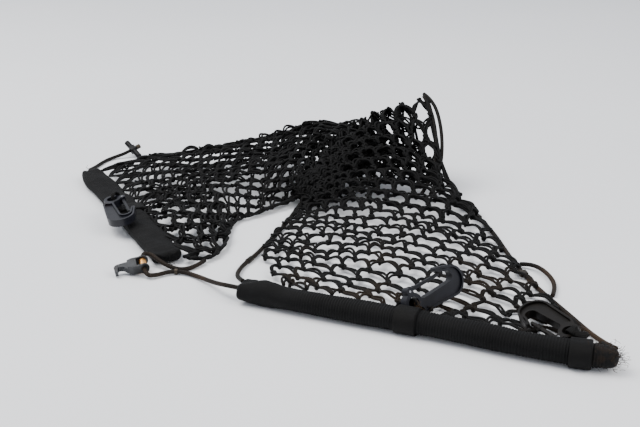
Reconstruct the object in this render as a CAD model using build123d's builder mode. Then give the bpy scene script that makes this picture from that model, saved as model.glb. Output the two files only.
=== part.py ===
# Elastic cargo net lying in a loose heap: two webbing sleeves joined by a knotted
# net, with snap hooks on tape loops, a small cord hook at one corner and a toggle
# at another. Millimetres, +Z up, origin on the floor under the middle of the net.

from build123d import *
from math import cos, pi, radians, sin, tan
import os

os.makedirs("parts", exist_ok=True)

# ---- driving dimensions ----

# webbing sleeves: a woven tube around the rolled edge of the net
front_sleeve_width = 28
front_sleeve_height = 24
rear_sleeve_width = 39
rear_sleeve_height = 14
webbing = 1.6
sleeve_gap = 0.3
sleeve_lift = 2.0
front_sleeve_route = [(-53, -176), (42, -221), (111, -249), (176, -278), (241, -313), (305, -332)]
rear_sleeve_route = [(-291, 233), (-238, 131), (-182, 12), (-146, -70)]

# cords
cord = 5.0
cord_bore = 5.8
clamp_bore = 5.1
crimp_bore = 5.4

# snap hooks: one moulded plate with an eye, a spine and a bend
eye_outer = 10.5
eye_inner = 6.6
hook_thickness = 9.0
hook_rim = 2.2
hook_web = 4.0
bend_x = 55
bend_radius = 15.5
spine_low = -18.0
lug_x = 0.5
lug_y = 12.6
lug_radius = 3.9
gate_thickness = 3.4
gate_slot = 4.2
gate_knuckle = 3.4
gate_arm = 3.6
gate_reach = 43
gate_end_y = 11.4
pin_diameter = 2.4
pin_clearance = 0.1

# tape loops that hold the snap hooks
tape_width = 20
tape = 1.6
tape_gap = 0.2
tape_ear = 4.0
ear_reach = 8.0

# small cord hook and its brass roller
roller_diameter = 9.0
roller_length = 12.0
yoke_width = 17.0
yoke_plate = 2.2
yoke_radius = 6.5
body_thickness = 11.0
shank_thickness = 6.6

# toggle
toggle_length = 38
toggle_diameter = 8.0


# ---- shared helpers ----

def radii_along(points, name):
    """Bend radius at each inner point: as large as its two runs allow."""
    corners = [Vector(*p) for p in points]
    radii = []
    for before, here, after in zip(corners, corners[1:], corners[2:]):
        arriving = here - before
        leaving = after - here
        half_turn = radians(arriving.get_angle(leaving)) / 2
        radii.append(0.45 * min(arriving.length, leaving.length) / tan(half_turn))
    print(name, "radii", [round(r, 1) for r in radii])
    return radii


def centre_line(points, name):
    """Straight runs joined by tangent arcs."""
    return FilletPolyline(*points, radius=radii_along(points, name))


def finish(piece, label):
    piece.part.label = label
    export_step(piece.part, f"parts/{label}.step")


def make_cord(points, label, diameter=cord):
    with BuildPart() as piece:
        with BuildLine() as line:
            centre_line(points, label)
        with BuildSketch(Plane(origin=line.line @ 0, z_dir=line.line % 0)):
            Circle(diameter / 2)
        sweep(path=line.line)
    length = line.wire().length
    tube = length * pi * diameter ** 2 / 4
    print(label, "length", round(length, 1), "volume ratio", round(piece.part.volume / tube, 4))
    finish(piece, label)


def level_plane(origin, along):
    """Section plane across a level run, with its own y axis straight up."""
    return Plane(origin=origin, x_dir=along.cross(Vector(0, 0, 1)), z_dir=along)


def lying_plane(origin, yaw, rise, roll):
    """Plane of a hook: x along the hook, turned by yaw, tipped by rise, rolled about x."""
    x_dir = Vector(cos(radians(rise)) * cos(radians(yaw)),
                   cos(radians(rise)) * sin(radians(yaw)),
                   sin(radians(rise)))
    level = Vector(-sin(radians(yaw)), cos(radians(yaw)), 0)
    upward = x_dir.cross(level)
    z_dir = upward * cos(radians(roll)) - level * sin(radians(roll))
    return Plane(origin=origin, x_dir=x_dir, z_dir=z_dir)


# ---- webbing sleeves ----

def make_sleeve(route, width, height, name):
    """Woven cover, the net's rolled edge inside it and the border cord in the middle."""
    points = [(x, y, sleeve_lift + height / 2) for x, y in route]
    corner = height * 0.42
    inset = webbing + sleeve_gap
    with BuildPart() as cover:
        with BuildLine() as line:
            centre_line(points, name)
        with BuildSketch(level_plane(line.line @ 0, line.line % 0)):
            RectangleRounded(width, height, corner)
            RectangleRounded(width - 2 * webbing, height - 2 * webbing, corner - webbing, mode=Mode.SUBTRACT)
        sweep(path=line.line)
    finish(cover, f"{name}_webbing")

    with BuildPart() as core:
        with BuildLine() as line:
            centre_line(points, f"{name} core")
        with BuildSketch(level_plane(line.line @ 0, line.line % 0)):
            RectangleRounded(width - 2 * inset, height - 2 * inset, corner - inset)
            Circle(cord_bore / 2, mode=Mode.SUBTRACT)
        sweep(path=line.line)
    finish(core, f"{name}_rolled_net_edge")

    make_cord(points, f"{name}_border_cord")


make_sleeve(front_sleeve_route, front_sleeve_width, front_sleeve_height, "front_sleeve")
make_sleeve(rear_sleeve_route, rear_sleeve_width, rear_sleeve_height, "rear_sleeve")


# ---- net: plain closed solids of the space that its cords fill ----

# stretch between the front sleeve and the heap, thicker towards the heap
front_net_outline = [(-42, -148), (50, -196), (96, -212), (150, -236), (196, -258), (216, -232), (232, -190),
                     (246, -110), (238, -30), (225, 60), (184, 112), (150, 117), (20, 121),
                     (9, 92), (0, 44), (-11, 4), (-24, -36), (-33, -64), (-44, -88), (-50, -116)]
front_net_top = 13.4
front_net_slope = 2.0
front_hook_room = 19
front_hook_eye = (124, -225, 19)

with BuildPart() as front_net:
    with BuildSketch():
        with BuildLine():
            Polyline(*front_net_outline, close=True)
        make_face()
    extrude(amount=40)
    split(bisect_by=Plane(origin=(0, 0, front_net_top)).rotated((front_net_slope, 0, 0)), keep=Keep.BOTTOM)
    with Locations((front_hook_eye[0] - 5, front_hook_eye[1], 20)):
        Cylinder(front_hook_room, 60, mode=Mode.SUBTRACT)
finish(front_net, "front_net")

# stretch between the heap and the rear sleeve, high at its back edge and by the heap
rear_net_outline = [(-258, 236), (-152, 22), (-118, -54), (-95, -42), (-88, -12), (-92, 28),
                    (-74, 72), (-30, 92), (6, 122), (8, 306), (-70, 305), (-145, 298), (-218, 284)]

with BuildPart() as rear_net:
    with BuildSketch():
        with BuildLine():
            Polyline(*rear_net_outline, close=True)
        make_face()
    extrude(amount=80)
    split(bisect_by=Plane(origin=(-200, 60, 9)).rotated((2.2, -8.5, 0)), keep=Keep.BOTTOM)
finish(rear_net, "rear_net")

# the heap where the net doubles over itself
heap_levels = [
    (0, [(12, 124), (146, 120), (176, 146), (180, 292), (150, 345), (12, 312)]),
    (50, [(22, 176), (132, 140), (174, 164), (180, 286), (138, 328), (22, 304)]),
    (78, [(120, 218), (140, 196), (173, 196), (179, 276), (160, 304), (120, 290)]),
    (112, [(160, 256), (167, 250), (174, 252), (177, 266), (170, 274), (160, 268)]),
]
with BuildPart() as heap:
    for level, outline in heap_levels:
        with BuildSketch(Plane.XY.offset(level)):
            with BuildLine():
                Polyline(*outline, close=True)
            make_face()
    loft(ruled=True)
finish(heap, "net_heap")


# ---- cords along the edges ----

left_edge_route = [(-50, -156, 13), (-57, -137, 8), (-60, -113, 4), (-54, -86, 3.2), (-43, -61, 3.4),
                   (-34, -32, 3), (-22, 6, 2.8), (-10, 46, 3), (-1, 86, 3.4), (7, 116, 5)]
right_edge_route = [(307, -312, 13), (305, -297, 8), (297, -264, 3.2), (286, -222, 2.7),
                    (273, -178, 2.7), (261, -133, 2.7), (254, -90, 2.7), (249, -45, 2.7),
                    (245, 2, 2.7), (238, 48, 2.8), (225, 92, 3), (206, 130, 4), (193, 166, 8),
                    (187, 204, 18), (186, 232, 32)]
right_slack_route = [(258, -88, 4), (268, -92, 6), (279, -106, 6), (286, -128, 4), (285, -151, 3),
                     (278, -171, 2.8)]
peak_routes = [
    [(177, 256, 114), (184, 238, 105), (190, 208, 80), (190, 182, 50), (180, 152, 26), (166, 128, 14)],
    [(178, 266, 115), (190, 246, 110), (198, 214, 84), (198, 184, 52), (189, 154, 24), (178, 132, 12)],
]
make_cord(left_edge_route, "left_edge_cord")
make_cord(right_edge_route, "right_edge_cord")
make_cord(right_slack_route, "right_slack_cord")

with BuildPart() as peak_cords:
    for route in peak_routes:
        with BuildLine() as line:
            centre_line(route, "peak_cords")
        with BuildSketch(Plane(origin=line.line @ 0, z_dir=line.line % 0)):
            Circle(cord / 2)
        sweep(path=line.line)
finish(peak_cords, "peak_edge_cords")


def middle_of_run(route, index):
    """Plane across a cord's run, halfway from one route point to the next."""
    first = Vector(*route[index])
    second = Vector(*route[index + 1])
    return Plane(origin=(first + second) / 2, x_dir=Vector(0, 0, 1).cross(second - first), z_dir=second - first)


# crimped brown clamp on the left edge cord
with BuildPart() as left_clamp:
    with BuildSketch(middle_of_run(left_edge_route, 3)):
        Circle(3.2)
        Circle(clamp_bore / 2, mode=Mode.SUBTRACT)
    extrude(amount=5, both=True)
finish(left_clamp, "left_edge_clamp")

# flat ferrules on the right edge cord
ferrule_runs = [5, 9]
with BuildPart() as ferrules:
    for run in ferrule_runs:
        with BuildSketch(middle_of_run(right_edge_route, run)):
            RectangleRounded(9, 5.3, 1)
            Circle(clamp_bore / 2, mode=Mode.SUBTRACT)
        extrude(amount=4.5, both=True)
finish(ferrules, "right_edge_ferrules")


# ---- snap hooks ----

# spine, bend and tip of the hook, with the eye's middle at the origin
with BuildSketch() as hook_profile:
    with BuildLine():
        Polyline((2, -2), (3, -10), (12, -14.5), (50, spine_low))
        ThreePointArc((50, spine_low), (bend_x + bend_radius * 0.95, -5.8), (58, 14.4))
        Line((58, 14.4), (42, 19.4))
        ThreePointArc((42, 19.4), (39.6, 17.6), (41, 14.8))
        Line((41, 14.8), (50, 11))
        ThreePointArc((50, 11), (56.6, 4.8), (50, -1.2))
        Polyline((50, -1.2), (14, -1.2), (8, 2), (2, -2))
    make_face()

# the sunk faces stay a rim's width inside that outline and clear of the eye
with BuildSketch() as sunk_profile:
    add(hook_profile.sketch)
    Circle(eye_outer + 1, mode=Mode.SUBTRACT)
    offset(amount=-hook_rim, kind=Kind.INTERSECTION)


def make_hook(plane, name):
    """Moulded plate with sunk faces, a round eye and two lugs for the gate."""
    with BuildPart() as hook:
        with BuildSketch(plane):
            Circle(eye_outer)
            add(hook_profile.sketch)
        extrude(amount=hook_thickness / 2, both=True)
        with BuildSketch(plane):
            with Locations((lug_x, lug_y)):
                Circle(lug_radius)
            with Locations((lug_x, lug_y - lug_radius)):
                Rectangle(2 * lug_radius, 5)
        extrude(amount=hook_thickness / 2, both=True)
        for side in (1, -1):
            with BuildSketch(plane.offset(side * hook_web / 2)):
                add(sunk_profile.sketch)
            extrude(amount=side * hook_thickness, mode=Mode.SUBTRACT)
        with BuildSketch(plane):
            Circle(eye_inner)
        extrude(amount=hook_thickness, both=True, mode=Mode.SUBTRACT)
        with BuildSketch(plane):
            with Locations((lug_x, lug_y)):
                Circle(gate_knuckle + 0.4)
            with Locations((lug_x + 10, lug_y)):
                Rectangle(20, 2 * gate_knuckle + 0.8)
        extrude(amount=gate_slot / 2, both=True, mode=Mode.SUBTRACT)
        with BuildSketch(plane):
            with Locations((lug_x, lug_y)):
                Circle(pin_diameter / 2)
        extrude(amount=hook_thickness, both=True, mode=Mode.SUBTRACT)
    finish(hook, f"{name}_hook")

    with BuildPart() as gate:
        with BuildSketch(plane):
            with BuildLine():
                Polyline((lug_x, lug_y - gate_arm / 2), (gate_reach, gate_end_y - gate_arm / 2),
                         (gate_reach + 1.2, gate_end_y), (gate_reach, gate_end_y + gate_arm / 3),
                         (lug_x, lug_y + gate_arm / 2), close=True)
            make_face()
            with Locations((lug_x, lug_y)):
                Circle(gate_knuckle)
                Circle(pin_diameter / 2 + pin_clearance, mode=Mode.SUBTRACT)
        extrude(amount=gate_thickness / 2, both=True)
    finish(gate, f"{name}_hook_gate")

    with BuildPart() as pin:
        with BuildSketch(plane):
            with Locations((lug_x, lug_y)):
                Circle(pin_diameter / 2)
        extrude(amount=hook_thickness / 2, both=True)
    finish(pin, f"{name}_hook_gate_pin")


def make_tape_loop(station, along, width, height, root, plane, ear, name):
    """Tape wrapped round the sleeve, gathered into an ear that runs through a hook's eye.

    root: the ear's first points in the sleeve's own directions (along, towards the net, up)
    ear: its other points in the hook's own frame
    """
    corner = height * 0.42
    middle = Vector(station[0], station[1], sleeve_lift + height / 2)
    forward = Vector(along[0], along[1], 0).normalized()
    inward = Vector(0, 0, 1).cross(forward)
    route = [middle + forward * a + inward * b + Vector(0, 0, c) for a, b, c in root]
    route += [plane.from_local_coords(point) for point in ear]
    with BuildPart() as loop:
        with BuildLine() as line:
            centre_line(route, f"{name}_tape_loop")
        with BuildSketch(Plane(origin=line.line @ 0, z_dir=line.line % 0)):
            Circle(tape_ear / 2)
        sweep(path=line.line)
        with BuildSketch(level_plane(middle, forward)):
            wrap = tape_gap + tape
            RectangleRounded(width + 2 * wrap, height + 2 * wrap, corner + wrap)
        extrude(amount=tape_width / 2, both=True)
        with BuildSketch(level_plane(middle, forward)):
            RectangleRounded(width + 2 * tape_gap, height + 2 * tape_gap, corner + tape_gap)
        extrude(amount=tape_width / 2, both=True, mode=Mode.SUBTRACT)
    finish(loop, f"{name}_hook_tape_loop")


front_hook_plane = lying_plane(front_hook_eye, 40, 12.2, 70)
side_hook_plane = lying_plane((269, -289, 16.5), 118, -2, -18)
rear_hook_plane = lying_plane((-229, 66.5, 24), -67, -2, 10)

make_hook(front_hook_plane, "front")
make_hook(side_hook_plane, "side")
make_hook(rear_hook_plane, "rear")

make_tape_loop((117.9, -252.2), (0.918, -0.396), front_sleeve_width, front_sleeve_height,
               [(4, 15, 1.4), (3.5, 20, 2.6)], front_hook_plane,
               [(0, 0, ear_reach), (0, 0, -ear_reach), (-9, 0, -ear_reach), (-15, 0, -7)], "front")
make_tape_loop((272, -322.2), (64, -19), front_sleeve_width, front_sleeve_height,
               [(0, 11.75, 9.75), (0, 15.3, 13.3)], side_hook_plane,
               [(-5, 0, ear_reach), (0, 0, ear_reach - 1), (0, 0, -ear_reach), (-8, 0, -ear_reach)], "side")
make_tape_loop((-211, 73.6), (56, -119), rear_sleeve_width, rear_sleeve_height,
               [(-8.5, -8, 7.9), (-8.5, -8, 13)], rear_hook_plane,
               [(-10, 10, 5), (-6.5, 5.5, 9.5), (0, 0, 6), (0, 0, -7)], "rear")


# ---- small cord hook at the left corner ----

small_hook_centre = (-165, -104.5, 10.8)
roller_axis = Vector(-0.25, 0.935, 0.25)
shank_axis = Vector(-0.963, -0.2225, -0.13)
yoke_side = Plane(origin=small_hook_centre, x_dir=shank_axis, z_dir=roller_axis)
hook_flat = Plane(origin=small_hook_centre, x_dir=shank_axis, z_dir=shank_axis.cross(roller_axis))

with BuildPart() as small_hook:
    # body behind the yoke
    with BuildSketch(hook_flat):
        with BuildLine():
            Polyline((7, -yoke_width / 2), (12, -yoke_width / 2), (17, -6), (17, 6), (12, yoke_width / 2),
                     (7, yoke_width / 2), close=True)
        make_face()
    extrude(amount=body_thickness / 2, both=True)
    # shank and its J bend, open towards the front
    with BuildSketch(hook_flat):
        with BuildLine():
            Polyline((14, -6), (14, 6), (20, 6), (27, 4.8))
            ThreePointArc((27, 4.8), (31.3, 2.4), (32, -2.5))
            Polyline((32, -2.5), (31.6, -8), (28.4, -8), (28.2, -3))
            ThreePointArc((28.2, -3), (27.4, -1), (25, -0.5))
            Polyline((25, -0.5), (22, -1.4), (18, -6), (14, -6))
        make_face()
    extrude(amount=shank_thickness / 2, both=True)
    for side in (1, -1):
        with BuildSketch(yoke_side.offset(side * yoke_width / 2)):
            Circle(yoke_radius)
            with Locations((4.5, 0)):
                Rectangle(9, body_thickness)
        extrude(amount=-side * yoke_plate)
    with BuildSketch(yoke_side):
        Circle(cord_bore / 2)
    extrude(amount=yoke_width, both=True, mode=Mode.SUBTRACT)
finish(small_hook, "corner_hook")

with BuildPart() as roller:
    with BuildSketch(yoke_side):
        Circle(roller_diameter / 2)
        Circle(cord_bore / 2, mode=Mode.SUBTRACT)
    extrude(amount=roller_length / 2, both=True)
finish(roller, "corner_hook_roller")

corner_cord_route = [(-53, -176, 14), (-66.6, -169.56, 14), (-78, -156.5, 10.5), (-88.5, -139, 6),
                     (-103, -120, 3), (-120, -108.5, 3.6), (-136, -108.5, 3.6), (-149, -118.5, 3.4),
                     (-159.9, -123.7, 5.7), (-170.1, -85.3, 15.9), (-160, -80.5, 13.5), (-149, -89.5, 8.5),
                     (-136, -98, 4.5), (-123, -101.5, 2.8), (-109, -94.5, 3), (-99, -79, 5)]
make_cord(corner_cord_route, "corner_cord")

with BuildPart() as crimp:
    with BuildSketch(middle_of_run(corner_cord_route, 5)):
        Circle(3.5)
        Circle(crimp_bore / 2, mode=Mode.SUBTRACT)
    extrude(amount=1.6, both=True)
finish(crimp, "corner_cord_crimp")


# ---- toggle at the back corner ----

toggle_centre = Vector(-249.5, 341, 11.5)
toggle_cord_axis = Vector(0.8, 0.5, 0.33)
toggle_bar_axis = Vector(0.6, -0.72, -0.36)
toggle_cord_route = [(-291, 233, 9), (-296.07, 242.76, 9), (-296.5, 258, 6.5), (-294, 278, 3.4),
                     (-290, 299, 2.6), (-283, 319, 2.6), (-272.5, 331, 3.6), (-259.1, 335, 7.54),
                     (-239.9, 347, 15.46)]
make_cord(toggle_cord_route, "toggle_cord")

with BuildPart() as toggle:
    with BuildSketch(Plane(origin=toggle_centre, x_dir=toggle_cord_axis, z_dir=toggle_bar_axis)):
        Circle(toggle_diameter / 2)
    extrude(amount=toggle_length / 2, both=True)
    chamfer(toggle.edges().filter_by(GeomType.CIRCLE), 0.8)
    with BuildSketch(Plane(origin=toggle_centre, x_dir=toggle_bar_axis, z_dir=toggle_cord_axis)):
        RectangleRounded(12, 10, 3)
    extrude(amount=4.2, both=True)
    with BuildSketch(Plane(origin=toggle_centre, x_dir=toggle_bar_axis, z_dir=toggle_cord_axis)):
        Circle(cord_bore / 2)
    extrude(amount=20, both=True, mode=Mode.SUBTRACT)
finish(toggle, "toggle_bar")

with BuildPart() as tip:
    with BuildSketch(Plane(origin=toggle_centre + toggle_cord_axis * 6, z_dir=toggle_cord_axis)):
        Circle(3.4)
        Circle(clamp_bore / 2, mode=Mode.SUBTRACT)
    extrude(amount=6)
finish(tip, "toggle_cord_sleeve")
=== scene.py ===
import math

import bmesh
import bpy
import numpy as np
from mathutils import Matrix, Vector


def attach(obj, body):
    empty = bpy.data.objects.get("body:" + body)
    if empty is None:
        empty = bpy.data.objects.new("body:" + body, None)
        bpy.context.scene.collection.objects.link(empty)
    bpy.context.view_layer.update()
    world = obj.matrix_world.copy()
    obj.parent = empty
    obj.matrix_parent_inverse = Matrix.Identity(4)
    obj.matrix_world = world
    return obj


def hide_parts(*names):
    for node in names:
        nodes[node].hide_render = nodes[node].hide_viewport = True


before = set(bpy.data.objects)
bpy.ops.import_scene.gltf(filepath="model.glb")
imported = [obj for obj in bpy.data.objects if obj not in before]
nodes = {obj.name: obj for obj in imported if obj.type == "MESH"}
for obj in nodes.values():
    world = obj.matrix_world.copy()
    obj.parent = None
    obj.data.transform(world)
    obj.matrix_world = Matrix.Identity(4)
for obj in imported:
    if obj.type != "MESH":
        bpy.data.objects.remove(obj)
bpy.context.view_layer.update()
mm = 0.001
print("frame loaded:", len(nodes), "nodes")


tiny = 1e-9  # keeps a division by a length of nothing safe


def newObject(name, data):
    made = bpy.data.objects.new(name, data)
    bpy.context.scene.collection.objects.link(made)
    return made


# camera, light and floor, in metres
stage = {
    "lens": 60.0,
    "sensor": 36.0,
    "place": (0.032, -1.201, 0.470),
    "tiltDegrees": 70.0,
    "farthest": 30.0,
    "floorSize": 9.0,
    "worldColour": (0.90, 0.93, 1.0, 1),
    "worldStrength": 0.92,
    "lightsAim": (0, 0.05, 0),
    "lights": {
        "key": {"place": (-1.3, 0.4, 2.3), "size": 1.8, "power": 84.0, "colour": (1.0, 0.98, 0.95)},
        "fill": {"place": (1.7, -1.0, 1.7), "size": 1.6, "power": 40.0, "colour": (1.0, 0.96, 0.90)},
    },
}


def makeStage():
    camera = bpy.data.cameras.new("camera")
    camera.lens = stage["lens"]
    camera.sensor_width = stage["sensor"]
    camera.clip_end = stage["farthest"]
    eye = newObject("camera", camera)
    eye.location = stage["place"]
    eye.rotation_euler = (math.radians(stage["tiltDegrees"]), 0, 0)
    bpy.context.scene.camera = eye

    world = bpy.data.worlds.new("studio")
    world.use_nodes = True
    background = world.node_tree.nodes["Background"]
    background.inputs["Color"].default_value = stage["worldColour"]
    background.inputs["Strength"].default_value = stage["worldStrength"]
    bpy.context.scene.world = world

    for name, facts in stage["lights"].items():
        lamp = bpy.data.lights.new(name, "AREA")
        lamp.energy = facts["power"]
        lamp.size = facts["size"]
        lamp.color = facts["colour"]
        light = newObject(name, lamp)
        light.location = facts["place"]
        toward = Vector(stage["lightsAim"]) - Vector(facts["place"])
        light.rotation_euler = toward.to_track_quat("-Z", "Y").to_euler()

    half = stage["floorSize"] / 2
    corners = [(-half, -half, 0), (half, -half, 0), (half, half, 0), (-half, half, 0)]
    mesh = bpy.data.meshes.new("floor")
    mesh.from_pydata(corners, [], [(0, 1, 2, 3)])
    floor = newObject("floor", mesh)
    return floor


floor = makeStage()


# a node of any tree: its settings first, then the values or links of its sockets
def addNode(tree, kind, settings=None, values=None):
    made = tree.nodes.new(kind)
    for key, item in (settings or {}).items():
        if key == "stops":
            elements = made.color_ramp.elements
            while len(elements) < len(item):
                elements.new(0.5)
            for element, (place, colour) in zip(elements, item):
                element.position = place
                element.color = (*colour, 1)
        else:
            setattr(made, key, item)
    for key, item in (values or {}).items():
        item = getattr(item, "socket", item)
        if isinstance(item, bpy.types.NodeSocket):
            tree.links.new(item, made.inputs[key])
        else:
            made.inputs[key].default_value = item
    return made


# a wrapped socket with the operators that the finishes and the ribs use
class Value:
    def __init__(self, tree, socket):
        self.tree = tree
        self.socket = socket

    def math(self, operation, other=None, flip=False):
        pair = (other, self) if flip else (self, other)
        values = {place: item for place, item in enumerate(pair) if item is not None}
        made = addNode(self.tree, "ShaderNodeMath", {"operation": operation}, values)
        return Value(self.tree, made.outputs[0])

    def __add__(self, other):
        return self.math("ADD", other)

    def __radd__(self, other):
        return self.math("ADD", other, flip=True)

    def __sub__(self, other):
        return self.math("SUBTRACT", other)

    def __rsub__(self, other):
        return self.math("SUBTRACT", other, flip=True)

    def __mul__(self, other):
        return self.math("MULTIPLY", other)

    def __rmul__(self, other):
        return self.math("MULTIPLY", other, flip=True)

    def __truediv__(self, other):
        return self.math("DIVIDE", other)

    def __rtruediv__(self, other):
        return self.math("DIVIDE", other, flip=True)

    def sine(self):
        return self.math("SINE")

    def clamp(self):
        return Value(self.tree, addNode(self.tree, "ShaderNodeClamp", values={0: self}).outputs[0])


# a material and one method for its nodes
class Finish:
    def __init__(self, roughness, metallic=0.0, specular=0.5):
        self.material = bpy.data.materials.new("finish")
        self.material.use_nodes = True
        self.tree = self.material.node_tree
        self.shader = self.tree.nodes["Principled BSDF"]
        self.shader.inputs["Roughness"].default_value = roughness
        self.shader.inputs["Metallic"].default_value = metallic
        self.shader.inputs["Specular IOR Level"].default_value = specular
        self.coords = self.tree.nodes.new("ShaderNodeTexCoord")

    def node(self, kind, settings=None, values=None, output=0):
        return Value(self.tree, addNode(self.tree, kind, settings, values).outputs[output])

    def place(self):
        return Value(self.tree, self.coords.outputs["Object"])

    # one direction of the place: 0 across, 1 deep, 2 up
    def axis(self, which):
        return self.node("ShaderNodeSeparateXYZ", values={0: self.place()}, output=which)

    # length along the piece and turn around it, from its own UV map
    def along(self):
        flat = Value(self.tree, self.coords.outputs["UV"])
        return [self.node("ShaderNodeSeparateXYZ", values={0: flat}, output=k) for k in (0, 1)]

    def noise(self, scale, detail=3.0, roughness=0.55):
        return self.node("ShaderNodeTexNoise", values={
            "Vector": self.place(), "Scale": scale, "Detail": detail, "Roughness": roughness})

    def ramp(self, factor, stops):
        return self.node("ShaderNodeValToRGB", {"stops": stops}, {0: factor})

    def mix(self, factor, first, second, blend="MIX"):
        return self.node("ShaderNodeMix", {"data_type": "RGBA", "blend_type": blend},
                         {0: factor, 6: first, 7: second}, output=2)

    def feed(self, name, value):
        self.tree.links.new(value.socket, self.shader.inputs[name])

    def bump(self, height, distance, strength=1.0):
        self.feed("Normal", self.node("ShaderNodeBump", values={
            "Height": height, "Distance": distance, "Strength": strength}))


turn = 2 * math.pi


# braided elastic: two crossing families of yarns, with painted shade in the grooves between them and worn
# brown patches towards the front
def braidFinish(dark, light, pitch, rough, warm):
    wornFrom, wornDepth, families = 0.03, 0.15, 3
    finish = Finish(rough, specular=0.16)
    length, around = finish.along()
    climb = length * (turn / pitch)
    lean = around * (turn * families)
    first = (climb + lean).sine() * 0.5 + 0.5
    second = (climb - lean).sine() * 0.5 + 0.5
    yarn = first.math("MULTIPLY", second)
    nearness = ((wornFrom - finish.axis(1)) * (1 / wornDepth)).clamp()
    wear = finish.noise(13.0) * (0.55 + nearness * 0.45)
    worn = finish.ramp(wear, [(0.34, dark), (0.50, light), (0.66, warm)])
    # painted shade: the colour is darkened in the grooves between the yarns
    paintedShade = finish.ramp(yarn, [(0.0, (0.35, 0.35, 0.37)), (0.8, (1.0, 1.0, 1.0))])
    finish.feed("Base Color", finish.mix(0.75, worn, paintedShade, "MULTIPLY"))
    finish.feed("Roughness", rough + (1 - yarn) * 0.2)
    finish.bump(yarn, pitch * 0.12, 0.8)
    return finish.material


# woven synthetic cloth: fine crossing threads under a slow change of tone, with painted shade in the dips
# of the weave
def clothFinish(dark, light, cell, rough, warm=None, worn=None):
    finish = Finish(rough, specular=0.12)
    length, around = finish.along()
    warp = (length * (turn / cell)).sine()
    weft = (around * (turn / cell)).sine()
    weave = warp.math("MULTIPLY", weft) * 0.5 + 0.5
    stops = [(0.35, dark), (0.65, light)]
    if warm:
        stops.append((0.8, warm))
    tone = finish.ramp(finish.noise(22.0), stops)
    if worn:
        towards, start, reach, colour = worn
        share = ((finish.axis(towards) - start) * (1 / reach)).clamp()
        spots = ((finish.noise(140.0) - 0.42) * 5).clamp()
        tone = finish.mix(share * spots * 0.6, tone, (*colour, 1))
    # painted shade: the colour is darkened where the threads dip
    paintedShade = finish.ramp(weave, [(0.0, (0.6, 0.6, 0.62)), (1.0, (1.0, 1.0, 1.0))])
    finish.feed("Base Color", finish.mix(0.6, tone, paintedShade, "MULTIPLY"))
    finish.feed("Roughness", rough + (finish.noise(60.0) - 0.5) * 0.15)
    finish.bump(weave, cell * 0.25, 0.7)
    return finish.material


# moulded plastic: fine grain, scuffs and a slow change of tone
def plasticFinish(dark, light, rough, coat=0.0, warm=None, shine=0.28):
    finish = Finish(rough, specular=shine)
    stops = [(0.35, dark), (0.62, light)]
    if warm:
        stops.append((0.78, warm))
    finish.feed("Base Color", finish.ramp(finish.noise(45.0, 5.0), stops))
    finish.feed("Roughness", rough + (finish.noise(160.0) - 0.5) * 0.25)
    finish.bump(finish.noise(900.0, 2.0), 0.12 * mm, 0.5)
    finish.shader.inputs["Coat Weight"].default_value = coat
    finish.shader.inputs["Coat Roughness"].default_value = 0.25
    return finish.material


def metalFinish(dark, light, rough):
    finish = Finish(rough, metallic=1.0)
    finish.feed("Base Color", finish.ramp(finish.noise(120.0, 5.0), [(0.35, dark), (0.65, light)]))
    finish.feed("Roughness", rough + (finish.noise(300.0) - 0.5) * 0.3)
    finish.bump(finish.noise(420.0, 3.0), 0.1 * mm, 0.6)
    return finish.material


def floorFinish():
    finish = Finish(0.9, specular=0.2)
    stops = [(0.3, (0.79, 0.81, 0.84)), (0.7, (0.86, 0.87, 0.89))]
    finish.feed("Base Color", finish.ramp(finish.noise(0.7, 2.0), stops))
    return finish.material


finishes = {
    "netCord": braidFinish((0.0018, 0.0018, 0.002), (0.0035, 0.0033, 0.0032), 2.4 * mm, 0.55,
                           (0.020, 0.012, 0.006)),
    "edgeCord": braidFinish((0.006, 0.0045, 0.003), (0.022, 0.014, 0.009), 3.4 * mm, 0.5,
                            (0.055, 0.032, 0.017)),
    "webbing": clothFinish((0.0018, 0.0018, 0.002), (0.004, 0.004, 0.0042), 0.9 * mm, 0.66,
                           worn=(0, 0.270, 0.040, (0.034, 0.020, 0.011))),
    "frayed": clothFinish((0.02, 0.014, 0.010), (0.075, 0.045, 0.022), 0.8 * mm, 0.7,
                          (0.16, 0.09, 0.035)),
    "tape": clothFinish((0.0016, 0.0016, 0.0018), (0.0035, 0.0032, 0.003), 0.8 * mm, 0.6,
                        (0.020, 0.011, 0.006)),
    "hook": plasticFinish((0.0035, 0.0038, 0.0065), (0.0075, 0.008, 0.013), 0.38, coat=0.08,
                          warm=(0.016, 0.011, 0.010)),
    "wornHook": plasticFinish((0.0035, 0.003, 0.0028), (0.006, 0.0045, 0.0035), 0.45,
                              warm=(0.024, 0.013, 0.007), shine=0.16),
    "gate": plasticFinish((0.0035, 0.0038, 0.006), (0.007, 0.0075, 0.011), 0.42),
    "smallHook": plasticFinish((0.004, 0.0045, 0.0055), (0.028, 0.031, 0.036), 0.30,
                               coat=0.25),
    "toggle": plasticFinish((0.002, 0.002, 0.0024), (0.005, 0.005, 0.006), 0.45, shine=0.12),
    "clamp": metalFinish((0.025, 0.022, 0.018), (0.075, 0.062, 0.048), 0.45),
    "brass": metalFinish((0.46, 0.20, 0.05), (0.86, 0.46, 0.16), 0.30),
    "steel": metalFinish((0.28, 0.28, 0.29), (0.46, 0.46, 0.48), 0.35),
    "sheet": floorFinish(),
}
for name, material in finishes.items():
    material.name = name
floor.data.materials.append(finishes["sheet"])
print("finishes made:", len(finishes))


# an empty geometry tree with named inputs
def newTree(name, inputs):
    tree = bpy.data.node_groups.new(name, "GeometryNodeTree")
    tree.interface.new_socket("Geometry", in_out="INPUT", socket_type="NodeSocketGeometry")
    for label, kind in inputs:
        tree.interface.new_socket(label, in_out="INPUT", socket_type=kind)
    tree.interface.new_socket("finish", in_out="INPUT", socket_type="NodeSocketMaterial")
    tree.interface.new_socket("Geometry", in_out="OUTPUT", socket_type="NodeSocketGeometry")
    return tree, tree.nodes.new("NodeGroupInput"), tree.nodes.new("NodeGroupOutput")


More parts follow.
